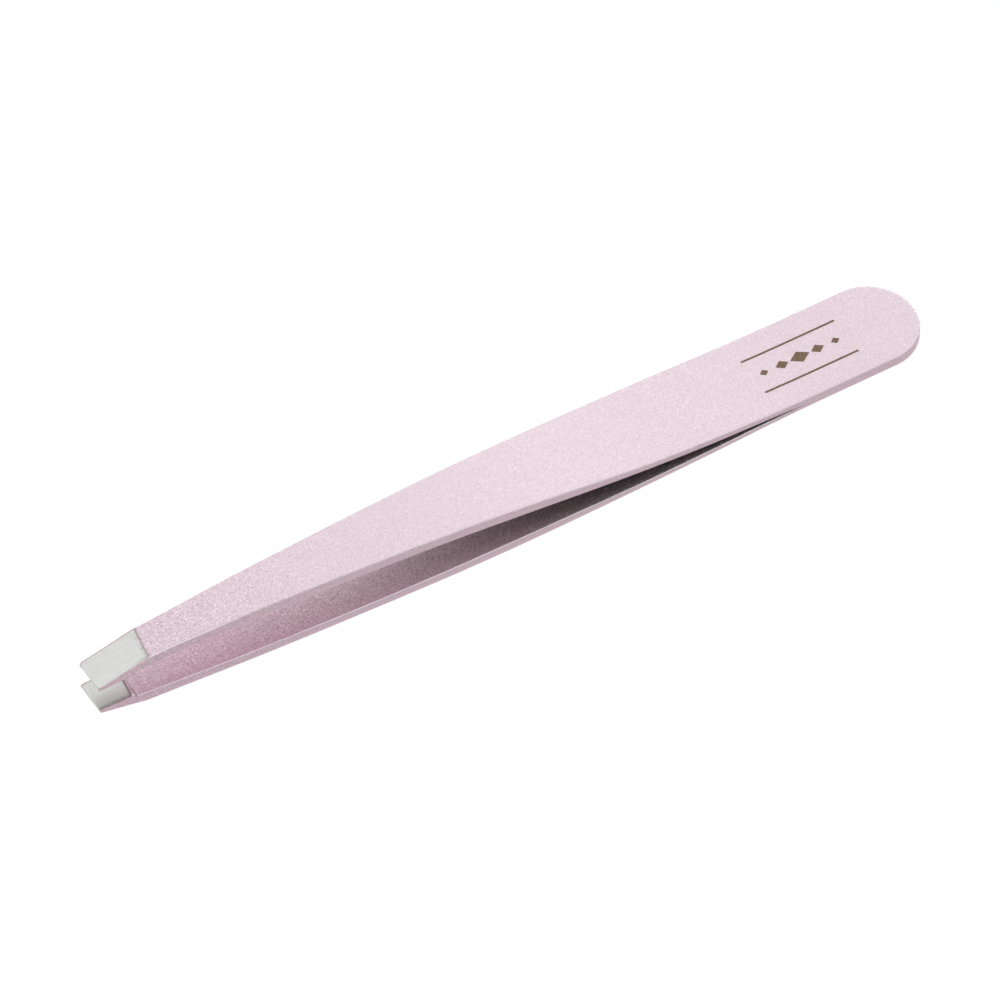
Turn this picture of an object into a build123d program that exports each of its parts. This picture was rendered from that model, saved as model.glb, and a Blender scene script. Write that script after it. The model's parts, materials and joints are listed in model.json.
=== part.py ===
from build123d import *
import os

# Flat-tipped spring tweezers: two spring-steel strips welded together at the tail, powder
# coated all over, with their tips ground bare after coating.
#
# +X runs from the tips to the tail, +Y across the strips and +Z through their thickness. The
# origin is the middle of the length, midway between the two arms. Heights are given for the
# upper arm, at rest, and the lower arm is its mirror image.

# Overall sizes, in millimetres
length = 95.0
tail_half_width = 5.12          # steel, on the parallel stretch towards the tail
tip_half_width = 1.91           # steel, on the parallel stretch at the tips
tail_round_length = 4.93        # how far the rounded end runs along the strip
coat = 0.07                     # thickness of the powder coat

# Where the plan outline turns, as distances from the tips
taper_start = 6.8
taper_end = 63.2
taper_start_radius = 158.0
taper_end_radius = 316.0
tip_corner_radius = 0.3

# Side view of the upper strip's steel: (distance from the tips, height)
outer_face = ((0, 2.81), (10, 3.36), (20, 3.50), (30, 3.39), (40, 3.12), (50, 2.46),
              (60, 1.56), (70, 0.91), (83, 0.52))
outer_rise_at_tip = 0.075
inner_face = ((4.2, 1.87), (10, 2.28), (20, 2.48), (30, 2.45), (40, 2.14), (50, 1.55),
              (60, 0.95), (70, 0.43), (78, 0.12), (84, 0.0))
inner_rise_at_pad = 0.09
strip_end_thickness = 0.52

# Gripping pad on the inside of each tip, ground flat after coating
pad_height = 1.43               # before grinding
pad_chamfer_start = 3.72
pad_chamfer_end = (4.12, 1.64)
ground_grip_height = 1.48

# Ground bevel on the outside of each tip
bevel_front_height = 1.75
bevel_rear = (6.05, 3.27)

# The flexing stretch of each strip turns about one line, where the strip is cut across
hinge_distance = 66.0
hinge_gap = 0.06

# Spot welds between the two strips
weld_radius = 1.1
weld_height = 0.36
weld_distances = (86.0, 89.0, 92.0)

# Printed ornament on the tail: two rules with a row of lozenges between them
print_thickness = 0.02
print_distance = 81.7
print_length = 11.0
rule_offset = 2.3
rule_width = 0.22
lozenge_pitch = 2.1
lozenge_sizes = ((0.8, 1.0), (1.1, 1.5), (1.5, 2.3), (1.1, 1.5), (0.8, 1.0))

os.makedirs("parts", exist_ok=True)


def from_tips(distance):
    """X of a place given by its distance from the tips."""
    return distance - length / 2


def side_profile(growth):
    """Side view of the upper strip, ground at the tip. A growth takes in the coat on it."""
    outer = [(from_tips(x), z + growth) for x, z in outer_face]
    inner = [(from_tips(x), z - growth) for x, z in inner_face]
    inner[0] = (from_tips(inner_face[0][0]) + growth, inner[0][1])
    end = from_tips(length)
    front = from_tips(0)
    highest = max(z for x, z in outer_face)
    chamfer_x, chamfer_z = pad_chamfer_end
    with BuildSketch(Plane.XZ) as profile:
        with BuildLine():
            Spline(*outer, tangents=[(1, outer_rise_at_tip), (1, 0)])
            Polyline(outer[-1], (end, strip_end_thickness + growth), (end, -growth), inner[-1])
            Spline(*inner, tangents=[(1, inner_rise_at_pad), (1, 0)])
            Polyline(
                inner[0],
                (from_tips(chamfer_x) + growth, chamfer_z - growth / 2),
                (from_tips(pad_chamfer_start) + growth / 2, pad_height - growth),
                (front, pad_height - growth),
                outer[0],
            )
        make_face()
        with BuildLine():
            Polyline(
                (front, bevel_front_height),
                (from_tips(bevel_rear[0]), bevel_rear[1]),
                (from_tips(bevel_rear[0]), highest),
                (front, highest),
                close=True,
            )
        make_face(mode=Mode.SUBTRACT)
        with BuildLine():
            Polyline(
                (front, ground_grip_height),
                (from_tips(inner_face[0][0]), ground_grip_height),
                (from_tips(inner_face[0][0]), 0),
                (front, 0),
                close=True,
            )
        make_face(mode=Mode.SUBTRACT)
    return profile.sketch


def plan_outline(growth):
    """Outline of a strip seen from above: narrow tip, long taper, wide tail, round end."""
    tip_y = tip_half_width + growth
    tail_y = tail_half_width + growth
    end_x = from_tips(length - coat - tail_round_length)
    with BuildSketch(Plane.XY) as outline:
        with BuildLine():
            edge = FilletPolyline(
                (from_tips(0), tip_y),
                (from_tips(taper_start), tip_y),
                (from_tips(taper_end), tail_y),
                (end_x, tail_y),
                radius=[taper_start_radius, taper_end_radius],
            )
            mirror(edge, about=Plane.XZ)
            EllipticalCenterArc(
                (end_x, 0), tail_round_length + growth, tail_y, start_angle=-90, arc_size=180
            )
            Line((from_tips(0), tip_y), (from_tips(0), -tip_y))
        make_face()
        fillet(outline.vertices().group_by(Axis.X)[0], tip_corner_radius)
    return outline.sketch


def upper_strip(growth):
    """The whole upper strip, from tip to tail: its bare steel, or its shape with the coat."""
    with BuildPart() as strip:
        extrude(side_profile(growth), amount=2 * tail_half_width, both=True)
        extrude(plan_outline(growth), amount=length, both=True, mode=Mode.INTERSECT)
    return strip.part


def finish(piece, name):
    """Name a finished piece and write it."""
    piece.part.label = name
    export_step(piece.part, f"parts/{name}.step")


bare_strip = upper_strip(0)
coated_strip = upper_strip(coat)
arm_cut = Plane.YZ.offset(from_tips(hinge_distance) - hinge_gap / 2)
tail_cut = Plane.YZ.offset(from_tips(hinge_distance) + hinge_gap / 2)

# Arms: the free stretch of each strip, from the ground tip to the flexing line
with BuildPart() as upper_arm_strip:
    add(bare_strip)
    split(bisect_by=arm_cut, keep=Keep.BOTTOM)
finish(upper_arm_strip, "upper_arm_strip")

with BuildPart() as lower_arm_strip:
    mirror(upper_arm_strip.part, about=Plane.XY)
finish(lower_arm_strip, "lower_arm_strip")

# The coat on each arm, open where the tip is ground
with BuildPart() as upper_arm_coat:
    add(coated_strip)
    add(bare_strip, mode=Mode.SUBTRACT)
    split(bisect_by=arm_cut, keep=Keep.BOTTOM)
finish(upper_arm_coat, "upper_arm_coat")

with BuildPart() as lower_arm_coat:
    mirror(upper_arm_coat.part, about=Plane.XY)
finish(lower_arm_coat, "lower_arm_coat")

# Weld nuggets: the discs of melted steel that hold the two strips together
with BuildPart() as spot_welds:
    with BuildSketch(Plane.XY.offset(-weld_height / 2)):
        with Locations(*[(from_tips(distance), 0) for distance in weld_distances]):
            Circle(weld_radius)
    extrude(amount=weld_height)
finish(spot_welds, "spot_welds")

# The welded tail ends of the two strips
with BuildPart() as upper_tail_strip:
    add(bare_strip)
    split(bisect_by=tail_cut, keep=Keep.TOP)
    add(spot_welds.part, mode=Mode.SUBTRACT)
finish(upper_tail_strip, "upper_tail_strip")

with BuildPart() as lower_tail_strip:
    mirror(upper_tail_strip.part, about=Plane.XY)
finish(lower_tail_strip, "lower_tail_strip")

# The coat on the tail: one skin, which bridges the seam where the strips meet
with BuildPart() as tail_coat:
    add(coated_strip)
    mirror(about=Plane.XY)
    add(bare_strip, mode=Mode.SUBTRACT)
    mirror(bare_strip, about=Plane.XY, mode=Mode.SUBTRACT)
    split(bisect_by=tail_cut, keep=Keep.TOP)
finish(tail_coat, "tail_coat")

# The printed ornament: a thin layer that follows the outer face of the coat
ornament_middle = from_tips(print_distance)
middle_lozenge = (len(lozenge_sizes) - 1) / 2
with BuildPart() as tail_print:
    with BuildSketch(Plane.XY) as ornament:
        with Locations((ornament_middle, rule_offset), (ornament_middle, -rule_offset)):
            Rectangle(print_length, rule_width)
        for i, (across, along) in enumerate(lozenge_sizes):
            centre = ornament_middle + (i - middle_lozenge) * lozenge_pitch
            with BuildLine():
                Polyline(
                    (centre - along / 2, 0),
                    (centre, across / 2),
                    (centre + along / 2, 0),
                    (centre, -across / 2),
                    close=True,
                )
            make_face()
    extrude(amount=bevel_rear[1])
    with BuildSketch(Plane.XZ):
        with BuildLine():
            printed = [(from_tips(x), z + coat + print_thickness) for x, z in outer_face]
            Spline(*printed, tangents=[(1, outer_rise_at_tip), (1, 0)])
            Polyline(
                printed[-1],
                (from_tips(length), printed[-1][1]),
                (from_tips(length), 0),
                (from_tips(0), 0),
                printed[0],
            )
        make_face()
    extrude(amount=tail_half_width, both=True, mode=Mode.INTERSECT)
    add(coated_strip, mode=Mode.SUBTRACT)
    split(bisect_by=Plane.XY.offset(strip_end_thickness), keep=Keep.TOP)
finish(tail_print, "tail_print")
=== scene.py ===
import json
import math

import bmesh
import bpy
import numpy as np
from mathutils import Matrix, Vector
from mathutils.bvhtree import BVHTree


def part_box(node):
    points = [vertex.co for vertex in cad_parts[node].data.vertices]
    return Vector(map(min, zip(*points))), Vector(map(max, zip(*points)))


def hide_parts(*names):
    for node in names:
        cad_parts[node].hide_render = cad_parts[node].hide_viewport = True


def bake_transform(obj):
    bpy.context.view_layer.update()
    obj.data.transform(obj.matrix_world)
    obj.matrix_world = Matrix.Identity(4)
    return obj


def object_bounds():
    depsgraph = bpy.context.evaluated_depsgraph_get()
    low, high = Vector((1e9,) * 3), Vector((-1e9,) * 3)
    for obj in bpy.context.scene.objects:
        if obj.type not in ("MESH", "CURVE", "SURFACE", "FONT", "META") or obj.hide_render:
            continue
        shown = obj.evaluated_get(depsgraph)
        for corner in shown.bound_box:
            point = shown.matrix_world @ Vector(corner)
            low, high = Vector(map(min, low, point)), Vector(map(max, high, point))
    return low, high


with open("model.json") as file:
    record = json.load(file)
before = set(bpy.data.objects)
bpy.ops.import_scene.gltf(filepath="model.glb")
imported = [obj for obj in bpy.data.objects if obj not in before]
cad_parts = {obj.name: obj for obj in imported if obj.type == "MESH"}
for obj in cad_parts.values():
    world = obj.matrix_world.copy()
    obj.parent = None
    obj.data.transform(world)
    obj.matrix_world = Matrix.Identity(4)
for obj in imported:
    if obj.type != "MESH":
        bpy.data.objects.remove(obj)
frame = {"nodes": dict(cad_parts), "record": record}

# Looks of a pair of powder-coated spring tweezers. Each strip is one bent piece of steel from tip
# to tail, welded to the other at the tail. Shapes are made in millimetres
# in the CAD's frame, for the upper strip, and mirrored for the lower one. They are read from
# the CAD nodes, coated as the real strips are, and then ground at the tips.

CAD_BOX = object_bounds()
MM = 0.001

# Shape details that the CAD leaves out, in millimetres
OUTER_EDGE = 0.13           # rounding along the outer edges of the steel
INNER_EDGE = 0.10           # and along the inner edges
PAD_EDGE = 0.22             # along the gripping pad
CLOSED_EDGE = 0.004         # where the two strips touch, which leaves no groove
OPEN_HEIGHT = 0.2           # height of the inner face from which its edges are fully rounded
FRONT_EDGE = 0.01           # on the front edge, which is cut square
TAIL_ROUND = 5.0            # length of the rounded end of the tail, over the coat
TIP_CORNER = 0.36
PAD_STOCK = 0.05            # how much is ground off the gripping pad
PAD_LENGTH = 3.85           # how far the pad is ground, from the tips
PAD_SLANT = 0.13            # how its rear edge slants forwards on the near side, in mm per mm
PAD_BOW = 0.02              # and how much it curves forwards there
PAD_BOW_START = 1.2         # from this far off the middle
PAD_ROLL = 0.45             # width over which the pad rolls off at its rim
PAD_ROLL_DEPTH = 0.05
PAD_TOLERANCE = 0.04        # how far from the grip height a face is still the pad
LEDGE_START = 3.85          # step behind the pad
LEDGE_LENGTH = 0.16
FRONT_STOCK = 0.06          # how much is ground off the front edge
FRONT_SLANT = math.radians(1.2)
BEVEL_SKEW = 0.027          # how far the bevel leans across the tip, in mm per mm
BEVEL_EASE = 0.009          # how much shallower it is than in the CAD, in mm per mm
BEVEL_RAGGED = 1.6          # length at its rear over which the coat's edge is ragged
PAD_RIPPLE = 0.012          # ripple of the ground coat's edge at the pad
BEVEL_RIPPLE = 0.018        # and at the bevel
SHARP_ANGLE = math.radians(12.5)

# Steps of the strips' meshes
CORNER_STEPS = 8
END_STEPS = 40
EDGE_STEPS = 8
WALL_STEPS = 3
FACE_STEPS = 18
CURVE_STEP = 2.0            # least distance in mm between the points of a curve along the strip
MERGE_DISTANCE = 0.0004     # points closer than this, in mm, become one
SHORTEST_EDGE = 0.0002

# Grinding blocks: lines of their working face each way, and their reach in millimetres
GRINDER_ROWS = 50
GRINDER_LINES = 140
GRINDER_SIDE = 3.5
GRINDER_LEAD = 1.0          # how far they start in front of the tips
BEVEL_GRINDER_END = 8.5
BEVEL_GRINDER_DEPTH = 6.0   # from its working face to its back
GRINDER_DEPTH = 3.0         # and the same for the others
FRONT_GRINDER_RISE = (-1.0, 5.0)
RIPPLES = ((2, 0.6), (9, 0.7))      # width in lines and share of each part of their ripple

# Where the coat is marked for its material, in millimetres
OUTER_HIGHLIGHT_LENGTH = 11.0           # length of the tips whose outer edges get a painted highlight
FACE_FADE = 0.12            # over which a face's mark fades down the wall
OUTER_REACH = 0.20          # how far it reaches down from the outer face
INNER_REACH = 0.16          # and up from the inner face
SEAM_HEIGHT = 0.15          # height of the inner face below which it is closed, or nearly
FLANK_START = 0.2           # start of the inner face's sides, as a share of its half width
LEDGE_FOOT = 0.04           # how far behind the step its painted shade is darkest
LEDGE_SHADE = 0.20          # reach of the painted shade at the foot of the step

# Thresholds on a face normal, which tell the CAD's faces apart
FACING = 0.7
WALL_FACING = 0.9
WALL_TILT = 0.3
BEVEL_TILT = -0.15


def cad_points(nodes, wanted):
    """X, Y and Z in mm of the CAD vertices on faces with a wanted normal, in order of X."""
    found = set()
    for node in nodes:
        mesh = frame["nodes"][node].data
        for face in mesh.polygons:
            if wanted(face.normal):
                for index in face.vertices:
                    place = mesh.vertices[index].co / MM
                    found.add((round(place.x, 3), round(place.y, 3), round(place.z, 3)))
    return np.array(sorted(found))


def smooth_curve(x, z):
    """A smooth function through the points, a step or more apart, and straight beyond them."""
    keep = [0]
    for i in range(1, len(x)):
        if x[i] - x[keep[-1]] >= CURVE_STEP:
            keep.append(i)
    keep[-1] = len(x) - 1
    x, z = x[keep], z[keep]
    slope = np.gradient(z, x, edge_order=2)

    def at(q):
        inside = np.clip(q, x[0], x[-1])
        i = np.clip(np.searchsorted(x, inside, side="right") - 1, 0, len(x) - 2)
        span = x[i + 1] - x[i]
        t = (inside - x[i]) / span
        curve = (
            z[i] * (1 + 2 * t) * (1 - t) ** 2
            + span * slope[i] * t * (1 - t) ** 2
            + z[i + 1] * t * t * (3 - 2 * t)
            + span * slope[i + 1] * t * t * (t - 1)
        )
        end_slope = np.where(q < x[0], slope[0], slope[-1])
        return curve + (q - inside) * end_slope

    return at


def smoothstep(value):
    t = np.clip(value, 0.0, 1.0)
    return t * t * (3 - 2 * t)


# The strip's shape, read from the CAD
STEEL = ("upper_arm_strip", "upper_tail_strip")
tip_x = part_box("upper_arm_strip")[0].x / MM
tail_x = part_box("tail_coat")[1].x / MM
COAT = (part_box("upper_arm_coat")[1].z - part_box("upper_arm_strip")[1].z) / MM
grip_mount = [m for m in frame["record"]["mounts"] if m["name"] == "grip_upper"][0]
grip_z = grip_mount["pos_m"][2] / MM

# Which of the CAD's points belong to the smooth faces, in millimetres
CORNER_CLEARANCE = 0.2      # those this far behind the tip's corner, or behind the step
WALL_NEAREST = 1.5          # nearer to the middle are only the seats of the weld nuggets


def read_faces():
    """Functions of X for the outer face, inner face and half width, and the bevel's two ends."""
    outer = cad_points(STEEL, lambda n: n.z > FACING and n.x > BEVEL_TILT)
    inner = cad_points(STEEL, lambda n: n.z < -FACING)
    inner = inner[inner[:, 0] > tip_x + LEDGE_START + LEDGE_LENGTH + CORNER_CLEARANCE]
    bevel = cad_points(STEEL, lambda n: n.z > FACING and n.x < BEVEL_TILT)
    wall = cad_points(STEEL, lambda n: abs(n.z) < WALL_TILT and abs(n.y) > WALL_FACING)
    wall = wall[wall[:, 0] > tip_x + TIP_CORNER + CORNER_CLEARANCE]
    wall = wall[abs(wall[:, 1]) > WALL_NEAREST]
    wall = wall[wall[:, 0] < tail_x - TAIL_ROUND]
    return (
        smooth_curve(outer[:, 0], outer[:, 2]),
        smooth_curve(inner[:, 0], inner[:, 2]),
        smooth_curve(wall[:, 0], abs(wall[:, 1])),
        bevel[0],
        bevel[-1],
    )


outer_height, inner_height, half_width, bevel_front, bevel_rear = read_faces()
bevel_slope = (bevel_rear[2] - bevel_front[2]) / (bevel_rear[0] - bevel_front[0])


def strip_heights(x, growth):
    """Outer and inner heights of the unground upper strip, grown by a coat."""
    outer = outer_height(x) + growth
    ledge = smoothstep((x - tip_x - LEDGE_START - growth) / LEDGE_LENGTH)
    pad = grip_z - PAD_STOCK
    inner = pad + (inner_height(x) - pad) * ledge
    return outer, np.maximum(inner - growth, 0.0)


def strip_outline(growth):
    """X, half width and inward normal along one side, from the front edge round to the apex."""
    front = tip_x - growth
    ledge = tip_x + LEDGE_START
    tail_start = tail_x - TAIL_ROUND
    corner = TIP_CORNER + growth
    corner_turn = np.linspace(0.0, math.pi / 2, CORNER_STEPS)
    x_corner = front + corner * (1 - np.sin(corner_turn[::-1]))
    stretches = (                                       # first section, end and step
        (front + corner + 0.08, ledge - 0.1, 0.12),     # along the pad
        (ledge - 0.1, ledge + 0.9, 0.03),               # over the step behind it
        (ledge + 1.0, tip_x + 9.0, 0.15),               # past the bevel
        (tip_x + 9.2, tail_start - 0.3, 0.6),           # along the rest
    )
    x_straight = [np.arange(start, end, step) for start, end, step in stretches]
    end_turn = np.linspace(0.0, math.pi / 2, END_STEPS)
    end_length = TAIL_ROUND - COAT + growth
    x_end = tail_start + end_length * np.sin(end_turn)
    x = np.concatenate([x_corner, *x_straight, x_end])
    width = half_width(x) + growth
    rounding = np.clip(1 - (x - front) / corner, 0.0, 1.0)
    width -= corner * (1 - np.sqrt(1 - rounding**2))
    tail_width = half_width(tail_start) + growth
    width[-len(x_end):] = tail_width * np.cos(end_turn)
    width[-1] = 0.0
    along = np.gradient(np.stack([x, -width], axis=1), axis=0)
    along[0] = (corner, -corner)
    along[-1] = (0.0, 1.0)
    along /= np.linalg.norm(along, axis=1)[:, None]
    inward = np.stack([-along[:, 1], along[:, 0]], axis=1)
    return x, width, inward


def edge_sizes(x, inward, growth):
    """How far the inner and outer edges are rounded in the section at X."""
    inner_gap = strip_heights(x, growth)[1]
    inner_edge = CLOSED_EDGE + (INNER_EDGE + growth) * smoothstep(inner_gap / OPEN_HEIGHT)
    pad_share = 1 - smoothstep((x - tip_x - LEDGE_START) / LEDGE_LENGTH)
    inner_edge += (PAD_EDGE - INNER_EDGE) * pad_share
    outer_edge = OUTER_EDGE + growth
    front_share = max(inward[0], 0.0) ** 2
    inner_edge += (FRONT_EDGE - inner_edge) * front_share
    outer_edge += (FRONT_EDGE - outer_edge) * front_share
    return inner_edge, outer_edge


def near_side(x, width, inward, growth, turns):
    """Points of a section's near side, from the inner face over the wall to the outer face."""
    inner_edge, outer_edge = edge_sizes(x, inward, growth)

    def moved_in(inset):
        px = x + inward[0] * inset
        py = min(-width + inward[1] * inset, 0.0)
        return px, py, *strip_heights(px, growth)

    points = []
    for turn in turns[::-1]:
        px, py, outer, inner = moved_in(inner_edge * (1 - math.cos(turn)))
        points.append((px, py, inner + inner_edge * (1 - math.sin(turn))))
    for step in range(1, WALL_STEPS):
        px, py, outer, inner = moved_in(0.0)
        low, high = inner + inner_edge, outer - outer_edge
        points.append((px, py, low + (high - low) * (step / WALL_STEPS)))
    for turn in turns:
        px, py, outer, inner = moved_in(outer_edge * (1 - math.cos(turn)))
        points.append((px, py, outer - outer_edge * (1 - math.sin(turn))))
    return np.array(points)


def strip_mesh(name, growth):
    """The unground upper strip as a closed mesh in mm, its edges rounded all round.

    Its rim layer rises to 1 along the inner edges, and on the tips along the outer ones, for a
    painted highlight there."""
    turns = np.linspace(0.0, math.pi / 2, EDGE_STEPS + 1)
    shares = np.linspace(0.0, 1.0, FACE_STEPS + 1)[1:-1, None]
    rows = []
    for x, width, inward in zip(*strip_outline(growth)):
        near = near_side(x, width, inward, growth, turns)
        far = near * (1, -1, 1)
        top = near[-1] + (far[-1] - near[-1]) * shares
        bottom = far[0] + (near[0] - far[0]) * shares
        rows.append(np.concatenate([near, top, far[::-1], bottom]))
    rim = np.sin(2 * turns) ** 2
    none = np.zeros(EDGE_STEPS + 1)
    flat = np.zeros(WALL_STEPS - 1)
    across = np.zeros(FACE_STEPS - 1)
    inner_rims = np.concatenate([rim, flat, none, across, none, flat, rim, across])
    outer_rims = np.concatenate([none, flat, rim, across, rim, flat, none, across])
    bm = bmesh.new()
    rim_layer = bm.verts.layers.float.new("rim")
    grid = [[bm.verts.new(p) for p in row] for row in rows]
    for row in grid:
        for vert, inner_rim, outer_rim in zip(row, inner_rims, outer_rims):
            # the outer edges get the painted highlight only near the tips
            tip_share = 1 - smoothstep((vert.co.x - tip_x - OUTER_HIGHLIGHT_LENGTH) / OUTER_HIGHLIGHT_LENGTH)
            vert[rim_layer] = inner_rim + outer_rim * tip_share
    count = len(rows[0])
    for a, b in zip(grid, grid[1:]):
        for j in range(count):
            k = (j + 1) % count
            bm.faces.new((a[j], b[j], b[k], a[k]))
    bm.faces.new(grid[0])
    bmesh.ops.remove_doubles(bm, verts=bm.verts, dist=MERGE_DISTANCE)
    bmesh.ops.dissolve_degenerate(bm, edges=bm.edges, dist=SHORTEST_EDGE)
    bmesh.ops.recalc_face_normals(bm, faces=bm.faces)
    return mesh_object(name, bm)


def mesh_object(name, bm):
    mesh = bpy.data.meshes.new(name)
    bm.to_mesh(mesh)
    bm.free()
    piece = bpy.data.objects.new(name, mesh)
    bpy.context.collection.objects.link(piece)
    return piece


def value_noise(rng, count, smooth):
    """One row of smooth noise between -1 and 1."""
    raw = rng.uniform(-1.0, 1.0, count)
    kernel = np.ones(smooth) / smooth
    wide = np.convolve(np.pad(raw, smooth, mode="wrap"), kernel, mode="same")[smooth:-smooth]
    return wide / max(1e-9, abs(wide).max())


def grinder(name, reach, cut, roughness, seed):
    """A block that grinds away all that lies on one side of a surface.

    reach says how far it runs along its first and second axes, cut(u, v, ripple) gives a
    point of its working face and the point of its back behind it, and roughness is its ripple
    in mm."""
    rng = np.random.default_rng(seed)
    (u0, u1), (v0, v1) = reach
    us = np.linspace(u0, u1, GRINDER_ROWS)
    vs = np.linspace(v0, v1, GRINDER_LINES)
    ripple = sum(value_noise(rng, len(vs), width) * share for width, share in RIPPLES)
    bm = bmesh.new()
    front, back = [], []
    for u in us:
        line = [cut(u, v, ripple[j] * roughness) for j, v in enumerate(vs)]
        front.append([bm.verts.new(p) for p, _ in line])
        back.append([bm.verts.new(q) for _, q in line])
    for sheet in (front, back):
        for a, b in zip(sheet, sheet[1:]):
            for j in range(len(vs) - 1):
                bm.faces.new((a[j], a[j + 1], b[j + 1], b[j]))
    rims = [
        [(front[i][0], back[i][0]) for i in range(len(us))],
        [(front[i][-1], back[i][-1]) for i in range(len(us))],
        list(zip(front[0], back[0])),
        list(zip(front[-1], back[-1])),
    ]
    for rim in rims:
        for (f0, b0), (f1, b1) in zip(rim, rim[1:]):
            bm.faces.new((f0, f1, b1, b0))
    bmesh.ops.recalc_face_normals(bm, faces=bm.faces)
    return mesh_object(name, bm)


def bevel_height(u, v):
    return bevel_front[2] + (u - bevel_front[0]) * (bevel_slope - BEVEL_EASE) - BEVEL_SKEW * v


def pad_height(u, v):
    """Height of the gripping pad, which is flat but rolls off towards its sides."""
    roll = max(0.0, 1 - (half_width(u) - abs(v)) / PAD_ROLL)
    return grip_z + PAD_ROLL_DEPTH * roll**2


def bevel_grinder(roughness, seed):
    """The wheel that bevels the outside of the tip. It leaves the coat a slightly ragged edge."""
    def cut(u, v, ripple):
        ragged = smoothstep((u - bevel_rear[0] + BEVEL_RAGGED) / (BEVEL_RAGGED / 2))
        height = bevel_height(u, v) + ripple * ragged
        return (u, v, height), (u, v, height + BEVEL_GRINDER_DEPTH)
    along = (tip_x - GRINDER_LEAD, tip_x + BEVEL_GRINDER_END)
    return grinder("bevel_grinder", (along, (-GRINDER_SIDE, GRINDER_SIDE)), cut, roughness, seed)


def grip_grinder(roughness, seed):
    """The wheel that flattens the gripping pad."""
    def cut(u, v, ripple):
        bow = PAD_BOW * min(v + PAD_BOW_START, 0.0) ** 2
        rear = PAD_LENGTH + PAD_SLANT * min(v, 0.0) - bow
        u = tip_x - GRINDER_LEAD + u * (rear + GRINDER_LEAD)
        return (u, v, pad_height(u, v) + ripple), (u, v, grip_z - GRINDER_DEPTH)
    reach = ((0.0, 1.0), (-GRINDER_SIDE, GRINDER_SIDE))
    return grinder("grip_grinder", reach, cut, roughness, seed)


def front_grinder():
    """The wheel that squares the front edge, turned a little off the square."""
    def cut(u, v, ripple):
        place = tip_x + FRONT_STOCK - v * math.tan(FRONT_SLANT)
        return (place, v, u), (place - GRINDER_DEPTH, v, u)
    reach = (FRONT_GRINDER_RISE, (-GRINDER_SIDE, GRINDER_SIDE))
    return grinder("front_grinder", reach, cut, 0.0, 0)


def store(piece, name, shares):
    """Stores one number for each of the piece's vertices, for its material to read."""
    layer = piece.data.attributes.new(name, "FLOAT", "POINT")
    layer.data.foreach_set("value", np.asarray(shares, dtype=np.float32))


def places(piece):
    found = np.empty(len(piece.data.vertices) * 3)
    piece.data.vertices.foreach_get("co", found)
    return found.reshape(-1, 3)


def distances(piece, surface):
    return np.array([surface.find_nearest(vert.co)[3] for vert in piece.data.vertices])


def surface_of(piece):
    return BVHTree.FromObject(piece, bpy.context.evaluated_depsgraph_get())


def mark_coat(coat, core):
    """Stores where on the strip the coat's vertices are, once the coat is ground.

    section is 1 on the steel and 0 a coat away, outer and inner are 1 on those faces of the
    strip, flank rises to 1 at the sides of the inner face, and ledge is 1 at the step's foot."""
    x, y, z = places(coat).T
    outer_top, inner_top = strip_heights(x, COAT)
    foot = tip_x + LEDGE_START + LEDGE_LENGTH + COAT
    opened = smoothstep(inner_top / SEAM_HEIGHT)
    inner = smoothstep((inner_top - z + INNER_REACH) / FACE_FADE) * opened
    flank = smoothstep((abs(y) / half_width(x) - FLANK_START) / (1 - FLANK_START))
    # mask for painted shade in the crease at the foot of the step
    step_shade = np.maximum(0.0, 1 - abs(x - foot - LEDGE_FOOT) / LEDGE_SHADE)
    store(coat, "section", np.maximum(0.0, 1 - distances(coat, core) / COAT))
    store(coat, "outer", smoothstep((z - outer_top + OUTER_REACH) / FACE_FADE))
    store(coat, "inner", inner)
    store(coat, "flank", inner * flank)
    store(coat, "ledge", inner * step_shade)


def subtract(piece, *tools):
    """Cuts the tools from the piece one after another, and deletes them."""
    for tool in tools:
        cutting = piece.modifiers.new("cut", "BOOLEAN")
        cutting.operation = "DIFFERENCE"
        cutting.solver = "MANIFOLD"
        cutting.object = tool
        graph = bpy.context.evaluated_depsgraph_get()
        cut = bpy.data.meshes.new_from_object(piece.evaluated_get(graph))
        piece.modifiers.clear()
        piece.data = cut
        bpy.data.objects.remove(tool)


def to_frame(piece, upper):
    """Takes the piece from mm to metres, mirrored for the lower strip, and shades it smooth."""
    if not upper:
        piece.data.transform(Matrix.Scale(-1.0, 4, (0, 0, 1)))
        piece.data.flip_normals()
    piece.data.transform(Matrix.Scale(MM, 4))
    piece.data.shade_smooth()
    piece.data.set_sharp_from_angle(angle=SHARP_ANGLE)


def make_strip(side, seed):
    """The steel and the coat of one strip, ground at the tips."""
    steel = strip_mesh(f"{side}_strip_steel", 0.0)
    coat = strip_mesh(f"{side}_strip_coat", COAT)
    core = strip_mesh("core", 0.0)
    core_surface = surface_of(core)
    ripples = (grip_grinder(PAD_RIPPLE, seed), bevel_grinder(BEVEL_RIPPLE, seed + 1))
    subtract(coat, core, front_grinder(), *ripples)
    mark_coat(coat, core_surface)
    subtract(steel, front_grinder(), grip_grinder(0.0, 0), bevel_grinder(0.0, 0))
    store(steel, "coat_gap", distances(steel, surface_of(coat)))
    for piece, slot in ((steel, "spring_steel"), (coat, "powder_coat")):
        to_frame(piece, side == "upper")
        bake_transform(piece)
    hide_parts(f"{side}_arm_strip", f"{side}_tail_strip")
    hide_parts(f"{side}_arm_coat", "tail_coat")
    return steel, coat


# Helpers for materials

def new_material(name):
    material = bpy.data.materials.new(name)
    material.use_nodes = True
    nodes, links = material.node_tree.nodes, material.node_tree.links
    return material, nodes, links, nodes["Principled BSDF"]


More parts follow.
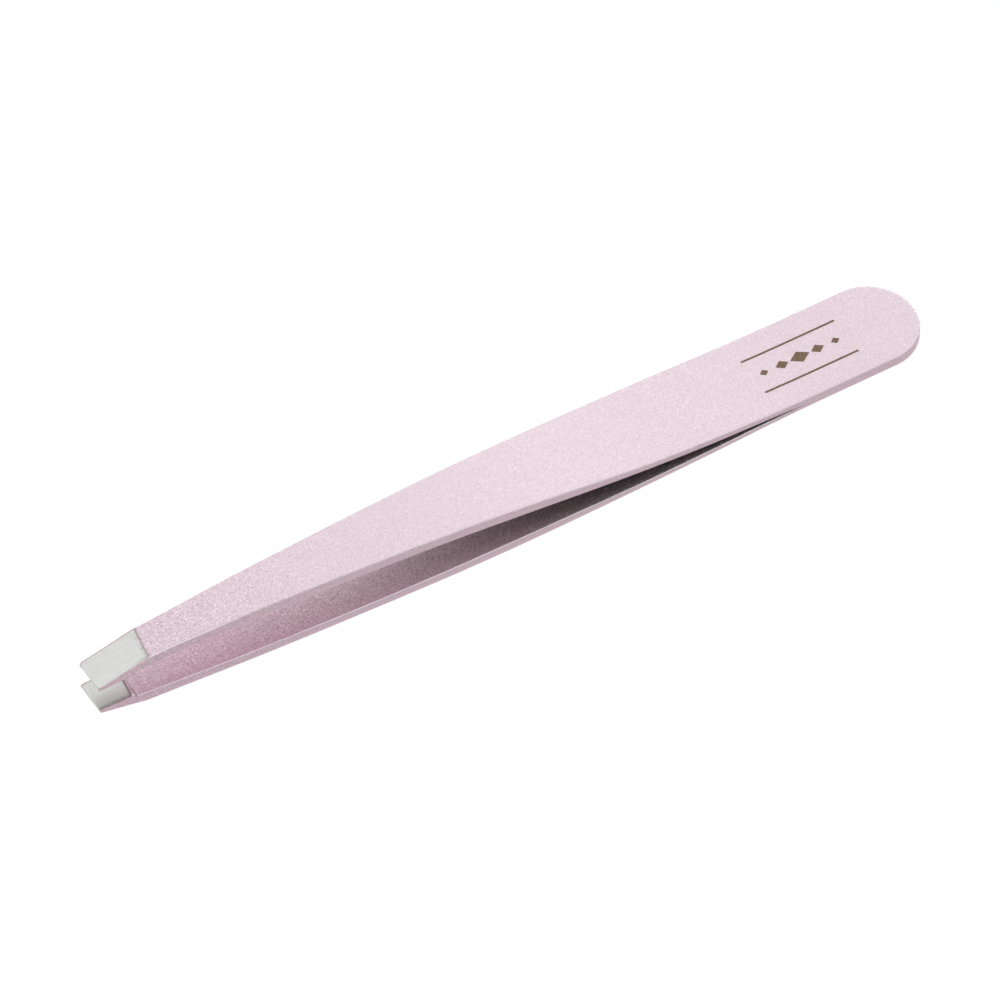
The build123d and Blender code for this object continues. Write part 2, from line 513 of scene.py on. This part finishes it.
def mapped(nodes, links, scale, turn=0.0):
    """Object coordinates, turned about Z and scaled, in 1/m."""
    coordinates = nodes.new("ShaderNodeTexCoord")
    mapping = nodes.new("ShaderNodeMapping")
    mapping.vector_type = "TEXTURE"
    mapping.inputs["Rotation"].default_value = (0, 0, turn)
    mapping.inputs["Scale"].default_value = [1 / s for s in scale]
    links.new(coordinates.outputs["Object"], mapping.inputs["Vector"])
    return mapping.outputs["Vector"]


def place_along(nodes, links, space):
    """X of the coordinates, which runs from the tips to the tail."""
    node = nodes.new("ShaderNodeSeparateXYZ")
    links.new(space, node.inputs[0])
    return node.outputs["X"]


def ramp(nodes, links, factor, *stops):
    """A colour ramp with the given (place, colour) stops."""
    node = nodes.new("ShaderNodeValToRGB")
    links.new(factor, node.inputs["Fac"])
    elements = node.color_ramp.elements
    while len(elements) < len(stops):
        elements.new(0.5)
    for element, (place, colour) in zip(elements, stops):
        element.position = place
        element.color = (*colour, 1)
    return node.outputs["Color"]


def noise(nodes, links, vector, scale, detail, roughness):
    node = nodes.new("ShaderNodeTexNoise")
    node.inputs["Scale"].default_value = scale
    node.inputs["Detail"].default_value = detail
    node.inputs["Roughness"].default_value = roughness
    links.new(vector, node.inputs["Vector"])
    return node.outputs["Fac"]


def bump(nodes, links, height, strength, distance, normal=None):
    node = nodes.new("ShaderNodeBump")
    node.inputs["Strength"].default_value = strength
    node.inputs["Distance"].default_value = distance
    links.new(height, node.inputs["Height"])
    if normal is not None:
        links.new(normal, node.inputs["Normal"])
    return node.outputs["Normal"]


def map_range(nodes, links, value, start, end, low, high):
    """Value between start and end, taken smoothly to between low and high."""
    node = nodes.new("ShaderNodeMapRange")
    node.interpolation_type = "SMOOTHSTEP"
    for name, number in zip(("From Min", "From Max", "To Min", "To Max"), (start, end, low, high)):
        node.inputs[name].default_value = number
    links.new(value, node.inputs["Value"])
    return node.outputs["Result"]


def blend_colours(nodes, links, share, a, b, kind="MIX"):
    """Colour a with a share of b mixed in. Each is a socket or a plain value."""
    node = nodes.new("ShaderNodeMix")
    node.data_type = "RGBA"
    node.blend_type = kind
    for value, socket in ((share, "Factor"), (a, "A"), (b, "B")):
        if isinstance(value, tuple):
            node.inputs[socket].default_value = (*value, 1)
        elif isinstance(value, float):
            node.inputs[socket].default_value = value
        else:
            links.new(value, node.inputs[socket])
    return node.outputs["Result"]


def math_node(nodes, links, operation, a, b):
    node = nodes.new("ShaderNodeMath")
    node.operation = operation
    links.new(a, node.inputs[0])
    links.new(b, node.inputs[1])
    return node.outputs[0]


def product(nodes, links, first, *others):
    for other in others:
        first = math_node(nodes, links, "MULTIPLY", first, other)
    return first


def vector_node(nodes, links, operation, *values):
    """A vector operation on sockets or plain vectors."""
    node = nodes.new("ShaderNodeVectorMath")
    node.operation = operation
    for value, socket in zip(values, node.inputs):
        if isinstance(value, tuple):
            socket.default_value = value
        else:
            links.new(value, socket)
    return node


def attribute(nodes, name):
    node = nodes.new("ShaderNodeAttribute")
    node.attribute_name = name
    return node.outputs["Fac"]


def paint(piece, *looks):
    piece.data.materials.clear()
    for look in looks:
        piece.data.materials.append(look)


# Powder coat. The flecks and the mottle multiply its base colour.
# The outer faces get a paler colour for a painted sheen, and the inner faces a darker one for
# painted shade.
COAT_OUTER_SHEEN = (0.905, 0.705, 0.806)
COAT_WALL = (0.965, 0.65, 0.77)
COAT_INNER_SHADE = (0.87, 0.555, 0.675)
FLECK_MEAN = (0.60, 0.60, 0.60)
FLECKS = (
    (0.0, (0.34, 0.26, 0.30)),
    (0.16, (0.54, 0.50, 0.53)),
    (0.5, FLECK_MEAN),
    (0.84, (0.64, 0.65, 0.65)),
    (1.0, (0.88, 0.98, 0.95)),
)
MOTTLE = ((0.34, (0.76, 0.60, 0.68)), (0.60, (1.0, 0.98, 0.99)))
FLANK_SHADE = (0.88, 0.77, 0.82)     # painted shade at the sides of the inner faces
GAP_GREY_TINT = (1.0, 1.15, 1.045)      # a greyer cast in the gap, behind the tips
GAP_SHADE_TINT = (0.175, 0.214, 0.187)   # painted shade in the narrow part of the gap
EDGE_HIGHLIGHT_COAT = (0.92, 0.80, 0.86)      # painted highlight along the edges
BURNT_COAT = (0.26, 0.16, 0.20)     # where grinding has cut through the coat
STEP_SHADE = (0.16, 0.07, 0.10)          # painted shade at the foot of the step behind the pad
FLAKE_SCALE = 8800.0                # per metre, as are all scales of the materials
GRAIN_SCALE = 5200.0
SPECKLED_END = -10.0                # where the coarser speckle of the tips has faded, in mm
GAP_GREY_SPAN = (-34.0, -14.0)               # stretches over which the grey cast and the painted shade in the gap set in, in mm
GAP_SHADE_SPAN = (-22.0, 14.0)
PEARL_IOR = 2.3


def fresh_coat(nodes, links, lot, grain, inner, speckled):
    """Colour of the clean coat, with a painted sheen on the outer faces and painted shade on the
    inner ones. lot is a random number for each flake.
    """
    outer = attribute(nodes, "outer")
    # painted shade on the inner faces and painted sheen on the outer ones
    colour = blend_colours(nodes, links, inner, COAT_WALL, COAT_INNER_SHADE)
    colour = blend_colours(nodes, links, outer, colour, COAT_OUTER_SHEEN)
    fleck_share = map_range(nodes, links, speckled, 0.0, 1.0, 0.26, 0.80)
    flecks = ramp(nodes, links, lot, *FLECKS)
    flecks = blend_colours(nodes, links, fleck_share, FLECK_MEAN, flecks)
    colour = blend_colours(nodes, links, 1.0, colour, flecks, "MULTIPLY")
    mottle_share = map_range(nodes, links, speckled, 0.0, 1.0, 0.14, 0.45)
    mottle = ramp(nodes, links, grain, *MOTTLE)
    return blend_colours(nodes, links, mottle_share, colour, mottle, "MULTIPLY")


def shade_gap(nodes, links, colour, along, inner, glint):
    """Colour with painted shade in the gap between the strips and a greyer cast behind the tips;
    glinting flakes show through the shade.
    """
    # painted shade towards the sides of the inner faces
    flank = map_range(nodes, links, attribute(nodes, "flank"), 0.0, 1.0, 0.0, 0.8)
    colour = blend_colours(nodes, links, flank, colour, FLANK_SHADE, "MULTIPLY")
    # a greyer cast on the inner faces, setting in towards the tail
    greying = map_range(nodes, links, along, GAP_GREY_SPAN[0] * MM, GAP_GREY_SPAN[1] * MM, 0.0, 1.0)
    greying = product(nodes, links, greying, inner)
    colour = blend_colours(nodes, links, greying, colour, GAP_GREY_TINT, "MULTIPLY")
    # painted shade deep in the gap, darkest towards the tail, partly spared on glinting flakes
    depth = map_range(nodes, links, along, GAP_SHADE_SPAN[0] * MM, GAP_SHADE_SPAN[1] * MM, 0.0, 1.0)
    dull = map_range(nodes, links, glint, 0.80, 0.92, 1.0, 0.25)
    gap_shade = product(nodes, links, depth, inner, dull)
    return blend_colours(nodes, links, gap_shade, colour, GAP_SHADE_TINT, "MULTIPLY")


def highlight_burn_and_shade(nodes, links, colour):
    """Colour with a painted highlight along the edges, the dark marks where grinding cut through
    the coat, and painted shade at the foot of the step.
    """
    # painted highlight along the rounded rims of the coat
    edge_highlight = map_range(nodes, links, attribute(nodes, "rim"), 0.3, 1.0, 0.0, 0.9)
    colour = blend_colours(nodes, links, edge_highlight, colour, EDGE_HIGHLIGHT_COAT)
    burnt = map_range(nodes, links, attribute(nodes, "section"), 0.35, 0.95, 0.0, 0.9)
    colour = blend_colours(nodes, links, burnt, colour, BURNT_COAT)
    # painted shade at the foot of the step
    step_shade = map_range(nodes, links, attribute(nodes, "ledge"), 0.2, 0.8, 0.0, 0.85)
    return blend_colours(nodes, links, step_shade, colour, STEP_SHADE)


def flake_normal(nodes, links, flake, tilt):
    """The surface's normal, tilted at random on each flake."""
    geometry = nodes.new("ShaderNodeNewGeometry")
    centred = vector_node(nodes, links, "SUBTRACT", flake, (0.5, 0.5, 0.5))
    lean = vector_node(nodes, links, "SCALE", centred.outputs[0])
    links.new(tilt, lean.inputs["Scale"])
    leaning = vector_node(nodes, links, "ADD", geometry.outputs["Normal"], lean.outputs[0])
    return vector_node(nodes, links, "NORMALIZE", leaning.outputs[0]).outputs[0]


def powder_coat():
    """Pale pink pearl powder coat: mica flecks in a slightly rough binder, coarser at the tips."""
    material, nodes, links, shader = new_material("pearl_pink_powder_coat")
    space = mapped(nodes, links, (1, 1, 1))
    along = place_along(nodes, links, space)
    flakes = nodes.new("ShaderNodeTexVoronoi")
    flakes.inputs["Scale"].default_value = FLAKE_SCALE
    links.new(space, flakes.inputs["Vector"])
    flake = flakes.outputs["Color"]
    lots = nodes.new("ShaderNodeSeparateColor")
    links.new(flake, lots.inputs["Color"])
    lot, glint = lots.outputs["Red"], lots.outputs["Green"]
    grain = noise(nodes, links, space, GRAIN_SCALE, detail=3.0, roughness=0.7)
    inner = attribute(nodes, "inner")
    tip_share = map_range(nodes, links, along, tip_x * MM, SPECKLED_END * MM, 1.0, 0.0)
    speckled = math_node(nodes, links, "MAXIMUM", tip_share, inner)
    colour = fresh_coat(nodes, links, lot, grain, inner, speckled)
    colour = shade_gap(nodes, links, colour, along, inner, glint)
    colour = highlight_burn_and_shade(nodes, links, colour)
    links.new(colour, shader.inputs["Base Color"])
    tilt = map_range(nodes, links, speckled, 0.0, 1.0, 0.08, 0.14)
    normal = flake_normal(nodes, links, flake, tilt)
    normal = bump(nodes, links, grain, strength=0.35, distance=0.00002, normal=normal)
    links.new(normal, shader.inputs["Normal"])
    links.new(map_range(nodes, links, glint, 0.93, 0.96, 0.0, 0.35), shader.inputs["Metallic"])
    links.new(map_range(nodes, links, glint, 0.93, 0.96, 0.54, 0.40), shader.inputs["Roughness"])
    shader.inputs["IOR"].default_value = PEARL_IOR
    return material


# Ground steel
BRUSH_SCALE = (260, 4200, 260)
CROSS_SCALE = (3600, 300, 300)
CROSS_TURN = math.radians(16)
BRUSH_CONTRAST = 0.035
OUTLINE_STEEL = (0.17, 0.13, 0.11)  # in the fine line where the steel meets the coat
SMEARED_STEEL = (0.22, 0.18, 0.155)
SMEAR_FADE = 0.8                    # length over which the smear sets in, in mm
STEEL_ROUGHNESS = 0.42


def ground_steel(name, turn, tone, smear_share, smear_start):
    """Ground stainless steel, with fine brush lines turned from the strip's axis.

    It is darker in a thin outline along the coat, and smeared coat darkens it in streaks beside
    the coat behind smear_start."""
    material, nodes, links, shader = new_material(name)
    brushed = mapped(nodes, links, BRUSH_SCALE, turn)
    crossed = mapped(nodes, links, CROSS_SCALE, turn + CROSS_TURN)
    lines = noise(nodes, links, brushed, scale=1.0, detail=4.0, roughness=0.65)
    crossing = noise(nodes, links, crossed, scale=1.0, detail=3.0, roughness=0.6)
    dark = tone - BRUSH_CONTRAST
    light = tone + BRUSH_CONTRAST
    dark_stop = (0.25, (dark, dark, dark * 0.98))
    light_stop = (0.70, (light, light, light * 0.985))
    shade = ramp(nodes, links, lines, dark_stop, light_stop)
    cross_shade = ramp(nodes, links, crossing, (0.3, (0.93, 0.93, 0.92)), (0.6, (1, 1, 1)))
    colour = blend_colours(nodes, links, 0.8, shade, cross_shade, "MULTIPLY")
    gap = attribute(nodes, "coat_gap")
    outline = map_range(nodes, links, gap, 0.02, 0.08, 0.6, 0.0)
    colour = blend_colours(nodes, links, outline, colour, OUTLINE_STEEL)
    along = place_along(nodes, links, mapped(nodes, links, (1, 1, 1)))
    smear_end = smear_start + SMEAR_FADE
    rear = map_range(nodes, links, along, smear_start * MM, smear_end * MM, 0.0, 1.0)
    nearness = map_range(nodes, links, gap, 0.05, 0.55, 1.0, 0.0)
    streaks = map_range(nodes, links, lines, 0.42, 0.62, 0.0, smear_share)
    smear = product(nodes, links, nearness, streaks, rear)
    colour = blend_colours(nodes, links, smear, colour, SMEARED_STEEL)
    links.new(colour, shader.inputs["Base Color"])
    normal = bump(nodes, links, lines, strength=0.25, distance=0.00001)
    normal = bump(nodes, links, crossing, strength=0.10, distance=0.00001, normal=normal)
    links.new(normal, shader.inputs["Normal"])
    shader.inputs["Metallic"].default_value = 1.0
    shader.inputs["Roughness"].default_value = STEEL_ROUGHNESS
    return material


def print_ink():
    """Matt taupe pad-printing ink, a little uneven."""
    material, nodes, links, shader = new_material("taupe_print_ink")
    space = mapped(nodes, links, (1, 1, 1))
    cover = noise(nodes, links, space, scale=6000.0, detail=3.0, roughness=0.6)
    tone = ramp(nodes, links, cover, (0.3, (0.10, 0.060, 0.035)), (0.7, (0.19, 0.125, 0.080)))
    links.new(tone, shader.inputs["Base Color"])
    normal = bump(nodes, links, cover, strength=0.3, distance=0.00001)
    links.new(normal, shader.inputs["Normal"])
    shader.inputs["Roughness"].default_value = 0.55
    shader.inputs["Specular IOR Level"].default_value = 0.2
    return material


COAT_LOOK = powder_coat()
BEVEL_STEEL = ground_steel(
    "ground_stainless_steel",
    turn=math.radians(-3),
    tone=0.57,
    smear_share=0.65,
    smear_start=bevel_rear[0] - 1.8,
)
PAD_STEEL = ground_steel(
    "cross_ground_stainless_steel",
    turn=math.radians(84),
    tone=0.54,
    smear_share=0.40,
    smear_start=tip_x - 1.0,
)
INK_LOOK = print_ink()

for strip_side, strip_seed in (("upper", 11), ("lower", 23)):
    strip_steel, strip_coat = make_strip(strip_side, strip_seed)
    paint(strip_steel, BEVEL_STEEL, PAD_STEEL)
    for face in strip_steel.data.polygons:
        face.material_index = int(abs(face.center.z) < (grip_z + PAD_TOLERANCE) * MM)
    paint(strip_coat, COAT_LOOK)

for slot in frame["nodes"]["tail_print"].material_slots:
    slot.material = INK_LOOK
for slot in frame["nodes"]["spot_welds"].material_slots:
    slot.material = BEVEL_STEEL


# Stage, lights and camera

FLOOR_DROP = 0.045
FLOOR_REACH = 3.0
FLOOR_GLOW = 1.0
SOFTBOX_FADE = 5.0              # half the width of a softbox's rim, in degrees
SOFTBOXES = (                   # azimuth from +X, elevation, half angle in degrees, brightness
    (45.0, 30.0, 20.0, 4.1),
    (0.0, 25.0, 20.0, 2.4),
    (135.0, 50.0, 24.0, 1.25),
    (170.0, 60.0, 40.0, 1.25),
    (-90.0, 73.0, 12.0, 3.2),
    (-67.0, 33.0, 9.0, 6.0),
)


def make_floor():
    """A large white sheet below the tweezers, which glows evenly and takes no shadow."""
    mesh = bpy.data.meshes.new("floor")
    signs = ((-1, -1), (1, -1), (1, 1), (-1, 1))
    corners = [(x * FLOOR_REACH, y * FLOOR_REACH, 0) for x, y in signs]
    mesh.from_pydata(corners, [], [(0, 1, 2, 3)])
    floor = bpy.data.objects.new("floor", mesh)
    floor.location.z = CAD_BOX[0][2] - FLOOR_DROP
    bpy.context.collection.objects.link(floor)
    material, nodes, links, shader = new_material("white_sweep")
    shader.inputs["Base Color"].default_value = (0, 0, 0, 1)
    shader.inputs["Specular IOR Level"].default_value = 0.0
    shader.inputs["Emission Color"].default_value = (1, 1, 1, 1)
    shader.inputs["Emission Strength"].default_value = FLOOR_GLOW
    paint(floor, material)


def softbox(nodes, links, direction, azimuth, elevation, half_angle, glow):
    """The brightness that one round softbox with a soft rim adds in a direction."""
    azimuth, elevation = math.radians(azimuth), math.radians(elevation)
    axis = (
        math.cos(azimuth) * math.cos(elevation),
        math.sin(azimuth) * math.cos(elevation),
        math.sin(elevation),
    )
    nearness = vector_node(nodes, links, "DOT_PRODUCT", direction, axis).outputs["Value"]
    rim_start = math.cos(math.radians(half_angle + SOFTBOX_FADE))
    rim_end = math.cos(math.radians(half_angle - SOFTBOX_FADE))
    return map_range(nodes, links, nearness, rim_start, rim_end, 0.0, glow)


def make_world():
    """Softboxes round and above the tweezers, in an otherwise dark studio."""
    world = bpy.data.worlds.new("studio")
    world.use_nodes = True
    nodes, links = world.node_tree.nodes, world.node_tree.links
    direction = nodes.new("ShaderNodeTexCoord").outputs["Generated"]
    lobes = [softbox(nodes, links, direction, *box) for box in SOFTBOXES]
    glow = lobes[0]
    for lobe in lobes[1:]:
        glow = math_node(nodes, links, "ADD", lobe, glow)
    background = nodes["Background"]
    background.inputs["Color"].default_value = (1, 1, 1, 1)
    links.new(glow, background.inputs["Strength"])
    bpy.context.scene.world = world


def make_camera():
    """A long lens a metre away, above the near side and a little towards the tips."""
    turn = math.radians(31.06)
    rise = math.radians(50.0)
    distance = 1.0
    view_width = 98.961 * MM        # what the frame takes in, at the tweezers
    slide_right = 0.684 * MM
    slide_up = 0.444 * MM
    right = Vector((math.cos(turn), -math.sin(turn), 0))
    up = Vector((math.sin(turn) * math.sin(rise), math.cos(turn) * math.sin(rise), math.cos(rise)))
    ahead = up.cross(right)
    lens = bpy.data.cameras.new("camera")
    lens.sensor_width = 36.0
    lens.lens = lens.sensor_width * distance / view_width
    lens.clip_start = 0.01
    lens.clip_end = 20.0
    camera = bpy.data.objects.new("camera", lens)
    camera.location = -right * slide_right - up * slide_up - ahead * distance
    camera.rotation_euler = ahead.to_track_quat("-Z", "Y").to_euler()
    bpy.context.collection.objects.link(camera)
    bpy.context.scene.camera = camera


make_floor()
make_world()
make_camera()
bpy.context.scene.view_settings.view_transform = "Standard"
